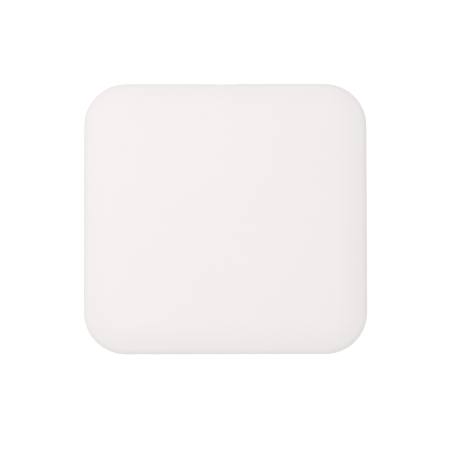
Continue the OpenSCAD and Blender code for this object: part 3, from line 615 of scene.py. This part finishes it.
def coil_leads(stack):
    """The winding's two ends, on their way to the board."""
    start = stack.first_r - PITCH / 4
    pad_r = stack.board_bore_r + 2.2
    lift = 0.05
    inner = [
        polar(start, COIL_ANGLE - 0.3, stack.wire_z),
        polar(start - 0.1, COIL_ANGLE - 4, stack.wire_z),
        polar(start - 1.3, COIL_ANGLE - 13, stack.wire_z - 0.1),
        polar(start - 2.3, COIL_ANGLE - 23, stack.wire_z - 0.7),
        polar(start - 2.8, COIL_ANGLE - 34, stack.slot_z),
        polar(start - 0.6, SLOT_ANGLE - 1, stack.slot_z),
        polar(start + 2, SLOT_ANGLE, stack.slot_z),
        polar(stack.ferrite_r - 3, SLOT_ANGLE, stack.slot_z),
        polar(stack.carrier_r + 0.3, SLOT_ANGLE, stack.slot_z),
        polar(pad_r - 0.75, SLOT_ANGLE, stack.slot_z - 0.1),
        polar(pad_r - 0.1, SLOT_ANGLE, stack.deck_z + 1),
        polar(pad_r, SLOT_ANGLE, stack.deck_z + 0.55),
        polar(pad_r, SLOT_ANGLE, stack.deck_z + 0.3),
        polar(pad_r, SLOT_ANGLE, stack.deck_z + lift),
    ]
    edge = stack.coil_r - WIRE / 2
    outer = [
        polar(edge, COIL_ANGLE + 0.2, stack.wire_z),
        polar(edge + 0.1, COIL_ANGLE + 3, stack.wire_z),
        polar(edge + 1.4, COIL_ANGLE + 6.5, stack.wire_z),
        polar(edge + 3.4, COIL_ANGLE + 3.5, stack.wire_z),
        polar(edge + 5.6, COIL_ANGLE - 4, stack.wire_z - 0.1),
        polar(pad_r - 0.9, OUTER_PAD_ANGLE + 3, stack.wire_z - 0.6),
        polar(pad_r, OUTER_PAD_ANGLE, stack.deck_z + 1.4),
        polar(pad_r, OUTER_PAD_ANGLE, stack.deck_z + 0.7),
        polar(pad_r, OUTER_PAD_ANGLE, stack.deck_z + lift),
    ]
    for name, points in (("coil_lead_inner", inner), ("coil_lead_outer", outer)):
        bundle = tube(smooth_path(points, 14), stranded(WIRE / 2), 24)
        make(name + "_litz", bundle, "litz_copper", name)


def sensor_leads(stack):
    """Two thin enamelled wires from the sensor over its pad and out through the slot."""
    low_z = stack.ferrite_z + SENSOR_LEAD / 2 + 0.02
    pad_r = stack.board_bore_r + 1.6
    turned = Matrix.Rotation(math.radians(SLOT_ANGLE), 3, "Z")
    wires = []
    for side in (-1, 1):
        step = side * 1.15
        end = SLOT_ANGLE + side * SENSOR_SPREAD
        points = [
            polar(1 + SENSOR_LEAD / 2, SLOT_ANGLE + side * 40, stack.ceiling_z - 0.7),
            polar(2.6, SLOT_ANGLE + side * 28, stack.ceiling_z - 0.9),
            polar(4.2, SLOT_ANGLE + side * 16, stack.ceiling_z - 1.15),
            polar(5.4, SLOT_ANGLE + side * 12, low_z + 0.3),
            turned @ Vector((7.5, step, low_z)),
            turned @ Vector((stack.ferrite_r - 2, step, low_z)),
            turned @ Vector((stack.carrier_r + 0.8, step, low_z)),
            polar(pad_r - 0.3, end, stack.deck_z + 0.9),
            polar(pad_r, end, stack.deck_z + 0.5),
            polar(pad_r, end, stack.deck_z + 0.05),
        ]
        wires.append(tube(smooth_path(points, 10), lambda angle, travelled: SENSOR_LEAD / 2, 14))
    make("sensor_leads_wire", joined(wires), "enamelled_wire", "sensor_leads")


def foam_spacer():
    """The foam ring, squeezed so that its sides bulge, with the small dents of cut foam."""
    low, high = extent("foam_spacer")
    hole, rim = 6.0, high.x
    bulge, dent = 0.22, 0.06
    half = (high.z - low.z) / 2
    ribs = 10
    steps = [k / ribs for k in range(ribs + 1)]
    side = [(bulge * math.cos(math.pi * (t - 0.5)), half * (2 * t - 1)) for t in steps]
    across = 24
    span = rim - hole - 2 * bulge
    profile = [Vector((rim - bulge + out, z)) for out, z in side]
    profile += [Vector((rim - bulge - span * k / across, half)) for k in range(1, across)]
    profile += [Vector((hole + bulge - out, -z)) for out, z in side]
    profile += [Vector((hole + bulge + span * k / across, -half)) for k in range(1, across)]
    middle = Z * (low.z + high.z) / 2
    circle = [(middle, polar(1, 360 * k / 160, 0)) for k in range(160)]
    verts, faces = skin(circle, profile, Z)
    for vert in verts:
        pit = dent * (0.5 + 0.5 * noise.noise(vert * 0.9))
        away = Vector((vert.x, vert.y, 0)).normalized()
        inwards = -away if away.dot(vert) > (hole + rim) / 2 else away
        vert += inwards * pit
        vert.z -= math.copysign(pit, vert.z - middle.z)
    soft = make("foam_spacer_cut", (verts, faces), "black_foam", "foam_spacer")


# ---------------------------------------------------------------- port

USB_LEG_OUT = 0.75  # from the shell's side to the middle of a leg


def usb_port():
    """The receptacle: a drawn shell with a rolled lip, and its moulded tongue."""
    shell_low, shell_high = extent("usb_shell")
    tongue_low, tongue_high = extent("usb_insulator")
    deck = extent("circuit_board")[1]
    wall = 0.3
    tab, thick, foot = 0.55, 0.15, 0.9  # half length, half thickness and reach of a mounting leg
    half_h = (shell_high.z - tongue_high.z) + (tongue_high.z - tongue_low.z) / 2
    middle = Vector((0, 0, (tongue_low.z + tongue_high.z) / 2))
    half_w = tongue_high.x + wall + 0.02
    mouth, back = shell_high.y, shell_low.y
    around = rounded_loop(half_w, half_h, half_h, 16, middle, X, Z)
    lip = filleted([(-wall, back, 0.06), (0, back, 0.06), (0, mouth, 0.14), (-wall, mouth, 0.12)], 5)
    shapes = [skin(around, lip, Y)]
    leg_x = half_w + USB_LEG_OUT
    for side in (-1, 1):
        for y in (back + 1.4, deck.y - 1.1):
            x = side * leg_x
            inner, outer = sorted((side * (leg_x - foot), side * (leg_x + thick)))
            shapes.append(soft_box((x - thick, y - tab, shell_low.z), (x + thick, y + tab, deck.z), 0.06))
            shapes.append(soft_box((inner, y - tab, deck.z), (outer, y + tab, deck.z + 2 * thick), 0.08))
    make("usb_shell_drawn", joined(shapes), "shell_steel", "usb_shell")

    block_l, tongue_w, tongue_t = 1.6, 6.69, 0.7
    inner_h = tongue_high.z - middle.z
    rear = rounded_loop(tongue_high.x, inner_h, inner_h, 12, middle, X, Z)
    face = [point for point, _ in rear]
    ring = len(face)
    verts = [p + Y * tongue_low.y for p in face] + [p + Y * (tongue_low.y + block_l) for p in face]
    faces = [tuple(range(ring)), tuple(reversed(range(ring, 2 * ring)))]
    faces += [(k, (k + 1) % ring, (k + 1) % ring + ring, k + ring) for k in range(ring)]
    blade = soft_box(
        (-tongue_w / 2, tongue_low.y + block_l - 0.2, middle.z - tongue_t / 2),
        (tongue_w / 2, tongue_high.y, middle.z + tongue_t / 2),
        0.16,
    )
    make("usb_insulator_tongue", joined([(verts, faces), blade]), "connector_plastic", "usb_insulator")


# ---------------------------------------------------------------- screws

HEAD_R = 1.8
HEAD_H = 1.2
SCREW_R = 1.0
SCREW_PITCH = 0.5
HEAD_DOME = 0.3
RECESS_ARM = 0.27  # half width of an arm of the cross
RECESS_REACH = 1.02  # from the cross's middle to the end of an arm
RECESS_DEPTH = 0.6
THREAD_DEPTH = 0.22
TIP_TAPER = 0.4


def cross_depth(x, y):
    """Depth of the cross recess under a point of the head's face."""
    arm = RECESS_ARM - min(abs(x), abs(y))
    reach = RECESS_REACH - max(abs(x), abs(y))
    return RECESS_DEPTH * min(max(arm / 0.06, 0), 1) * min(max(reach / 0.14, 0), 1)


def thread_radius(z, angle, start, end):
    """The screw's radius: a thread that runs out under the head and at the tip."""
    phase = (z / SCREW_PITCH - angle / math.tau) % 1
    crest = 1 - abs(2 * phase - 1)
    depth = THREAD_DEPTH * min(max((z - start) / 0.4, 0), 1)
    tip = TIP_TAPER * max(0, 1 - (end - z) / 0.5)
    return SCREW_R - depth * (1 - crest) - tip


def screw(length, around=60):
    """A pan-head screw that hangs from z = 0, its head's face, towards +Z."""
    rings = []
    for k in range(1, 17):
        r = 0.1 * k
        rings.append([(r, HEAD_DOME * (r / HEAD_R) ** 2)] * around)
    rim = ((HEAD_R - 0.1, 0.31), (HEAD_R - 0.03, 0.4), (HEAD_R, 0.52))
    under = ((HEAD_R, HEAD_H - 0.05), (HEAD_R - 0.05, HEAD_H))
    for r, z in rim + under:
        rings.append([(r, z)] * around)
    step = SCREW_PITCH / 6
    turns = round((length - HEAD_H) / step)
    for k in range(turns + 1):
        z = HEAD_H + (length - HEAD_H) * k / turns
        rings.append([(thread_radius(z, math.tau * i / around, HEAD_H, length), z) for i in range(around)])
    verts = [Vector((0, 0, cross_depth(0, 0)))]
    for ring in rings:
        for i, (r, z) in enumerate(ring):
            x, y = r * math.cos(math.tau * i / around), r * math.sin(math.tau * i / around)
            sunk = cross_depth(x, y) if z < HEAD_DOME else 0
            verts.append(Vector((x, y, z + sunk)))
    verts.append(Vector((0, 0, length)))
    first = [(0, 1 + i, 1 + (i + 1) % around) for i in range(around)]
    base = len(verts) - 1 - around
    last = [(base + (i + 1) % around, base + i, len(verts) - 1) for i in range(around)]
    sides = []
    for ring in range(len(rings) - 1):
        a = 1 + ring * around
        for i in range(around):
            j = (i + 1) % around
            sides.append((a + i, a + around + i, a + around + j, a + j))
    return verts, first + sides + last


def screws():
    """The case screws, driven from below, and the board screws, driven from above."""
    low, high = extent("case_screws")
    shape = screw(high.z - low.z)
    four = []
    for x in (low.x + HEAD_R, high.x - HEAD_R):
        for y in (low.y + HEAD_R, high.y - HEAD_R):
            four.append(([v + Vector((x, y, low.z)) for v in shape[0]], shape[1]))
    make("case_screws_threaded", joined(four), "screw_steel", "case_screws")

    low, high = extent("board_screws")
    shape = screw(high.z - low.z)
    two = []
    for x in (low.x + HEAD_R, high.x - HEAD_R):
        place = Vector((x, (low.y + high.y) / 2, high.z))
        two.append(([place + Vector((v.x, -v.y, -v.z)) for v in shape[0]], shape[1]))
    make("board_screws_threaded", joined(two), "screw_steel", "board_screws")


# ---------------------------------------------------------------- edges of the small parts


def soften(names, width):
    """Breaks the sharp edges of CAD nodes, without a change to their own mesh."""
    for name in names:
        node = nodes[name]
        weld = node.modifiers.new("weld", "WELD")
        weld.merge_threshold = 0.002 * MM
        flat = node.modifiers.new("flat", "DECIMATE")
        flat.decimate_type = "DISSOLVE"
        flat.angle_limit = math.radians(1)
        edges = node.modifiers.new("edges", "BEVEL")
        edges.width = width * MM
        edges.segments = 2
        edges.limit_method = "ANGLE"
        edges.angle_limit = math.radians(40)
        edges.harden_normals = True


foot_ring()
stack = Stack()
coil_winding(stack)
coil_leads(stack)
sensor_leads(stack)
foam_spacer()
usb_port()
screws()
soften(("controller_chip", "protocol_chip", "sense_amplifier", "voltage_regulator"), 0.06)
soften(("bridge_transistors", "resonant_capacitors", "bulk_capacitors", "surge_diode"), 0.08)
soften(("shunt_resistor", "input_fuse", "chip_resistors", "chip_capacitors", "status_led"), 0.04)
soften(("power_inductor", "crystal", "thermal_pad"), 0.1)
soften(("component_leads",), 0.03)


# ---------------------------------------------------------------- studio

CAMERA_DISTANCE = 0.65
CAMERA_TILT = 2.35  # degrees from straight down, towards the front
CAMERA_ROLL = 0.09
CAMERA_LENS = 147.16
AIM = Vector((-0.16, -2.23, 5)) * MM


def make_camera():
    data = bpy.data.cameras.new("camera")
    data.lens = CAMERA_LENS
    data.sensor_width = 36
    data.clip_start = 0.01
    camera = bpy.data.objects.new("camera", data)
    bpy.context.scene.collection.objects.link(camera)
    tilt = math.radians(CAMERA_TILT)
    back = Vector((0, -math.sin(tilt), math.cos(tilt)))
    camera.location = AIM + back * CAMERA_DISTANCE
    turn = Matrix.Rotation(math.radians(-CAMERA_ROLL), 4, "Z") @ Matrix.Rotation(tilt, 4, "X")
    camera.rotation_euler = turn.to_euler()
    bpy.context.scene.camera = camera


def make_light(name, place, size, power, target=(0, 0, 0)):
    data = bpy.data.lights.new(name, "AREA")
    data.shape = "DISK"
    data.size = size
    data.energy = power
    lamp = bpy.data.objects.new(name, data)
    bpy.context.scene.collection.objects.link(lamp)
    lamp.location = place
    lamp.rotation_euler = (Vector(place) - Vector(target)).to_track_quat("Z", "Y").to_euler()


FLOOR = (0.93, 0.93, 0.93)
FLOOR_GLOW = 0.35
FLOOR_DROP = 0.02  # keeps the floor's face off the underside of the foot


def make_floor():
    mesh = bpy.data.meshes.new("floor")
    half = 4.0
    z = -FLOOR_DROP * MM
    corners = [(-half, -half, z), (half, -half, z), (half, half, z), (-half, half, z)]
    mesh.from_pydata(corners, [], [(0, 1, 2, 3)])
    floor = bpy.data.objects.new("floor", mesh)
    bpy.context.scene.collection.objects.link(floor)
    paint = Paint("floor_paper", FLOOR, 0.9, Specular_IOR_Level=0.1, Emission_Color=(1, 1, 1, 1))
    paint.colour(paint.shaded(paint.scaled(paint.noise(300, 3.0), 0.3, 0.7), 0.99, 1.01))
    seen = paint.node("LightPath").outputs["Is Camera Ray"]
    paint.join(paint.math("MULTIPLY", seen, FLOOR_GLOW), paint.shader.inputs["Emission Strength"])
    mesh.materials.append(paint.material)


def make_world(strength):
    world = bpy.data.worlds.new("studio")
    world.use_nodes = True
    backdrop = world.node_tree.nodes["Background"]
    backdrop.inputs["Color"].default_value = (1, 1, 1, 1)
    backdrop.inputs["Strength"].default_value = strength
    bpy.context.scene.world = world


bpy.context.scene.view_settings.view_transform = "Standard"
make_camera()
make_floor()
make_world(0.86)
make_light("key", (-0.10, 0.06, 0.38), 0.3, 0.437)
